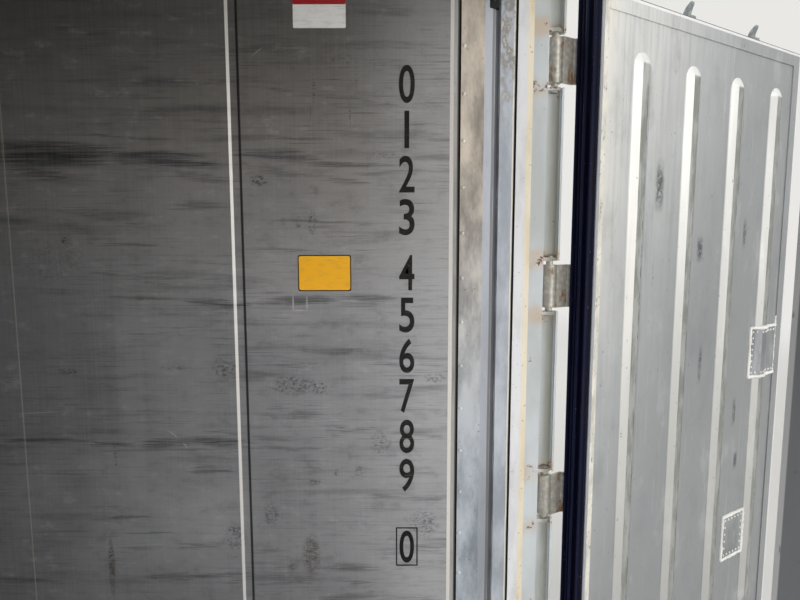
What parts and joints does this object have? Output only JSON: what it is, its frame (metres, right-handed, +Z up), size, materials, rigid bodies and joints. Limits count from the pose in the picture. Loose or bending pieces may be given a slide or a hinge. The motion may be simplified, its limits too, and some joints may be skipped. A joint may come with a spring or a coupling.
{
  "type": "shipping container",
  "caption": "Insulated steel shipping container with stainless lining, T-section floor, corner castings and rear double doors, the right one standing open on its hinges",
  "frame": {"origin": "on the ground under the middle of the container: centre of the four bottom twist-lock slots, at the lowest faces of the bottom corner castings", "axes": "+X along the container towards its doors, +Y to the right-hand wall as seen from the doors, +Z up"},
  "size_m": [7.0949, 3.0235, 2.591],
  "materials": {
    "frame_paint": "satin",
    "channel_paint": "worn satin",
    "zinc": "galvanised",
    "foam": "rigid foam",
    "aluminium": "mill",
    "skin_paint": "semi-gloss",
    "stainless": "worn satin",
    "liner_steel": "worn satin",
    "panel": "scuffed gloss",
    "seat": "matt",
    "sealant": "matt",
    "gasket": "matt"
  },
  "bodies": {
    "container": {"bottom_corner_castings": "frame_paint", "top_rear_castings": "frame_paint", "top_front_castings": "frame_paint", "right_rear_post": "channel_paint", "left_rear_post": "channel_paint", "front_posts": "frame_paint", "rear_header": "frame_paint", "rear_sill": "frame_paint", "front_header": "frame_paint", "front_sill": "frame_paint", "top_side_rails": "frame_paint", "bottom_side_rails": "frame_paint", "cross_members": "frame_paint", "underfloor_sheet": "zinc", "floor_core": "foam", "floor_tees": "aluminium", "threshold": "aluminium", "right_wall_skin": "skin_paint", "right_wall_core": "foam", "right_wall_lining": "stainless", "left_wall_skin": "skin_paint", "left_wall_core": "foam", "left_wall_lining": "stainless", "front_wall_skin": "skin_paint", "front_wall_core": "foam", "front_wall_lining": "stainless", "roof_skin": "skin_paint", "roof_core": "foam", "ceiling_lining": "panel", "door_jambs": "stainless", "header_jamb": "stainless", "seal_seats": "seat", "sealant_beads": "sealant", "post_liners": "liner_steel", "lining_trims": "stainless", "hinge_pins": "zinc", "cam_keepers": "zinc", "left_door_core": "foam", "left_door_skin": "skin_paint", "left_door_lining": "panel", "left_door_gasket": "gasket", "left_door_hinges": "zinc", "left_door_lock_rods": "zinc", "left_door_rod_brackets": "zinc"},
    "right_door": {"right_door_core": "foam", "right_door_skin": "skin_paint", "right_door_lining": "panel", "right_door_gasket": "gasket", "right_door_hinges": "zinc", "right_door_lock_rods": "zinc", "right_door_rod_brackets": "zinc"}
  },
  "joints": [
    {"name": "right_door_swing", "type": "hinge", "parent": "container", "child": "right_door", "pos_m": [3.002, 1.2, 0], "axis": [0, 0, 1], "range_deg": [-122, 142]}
  ]
}
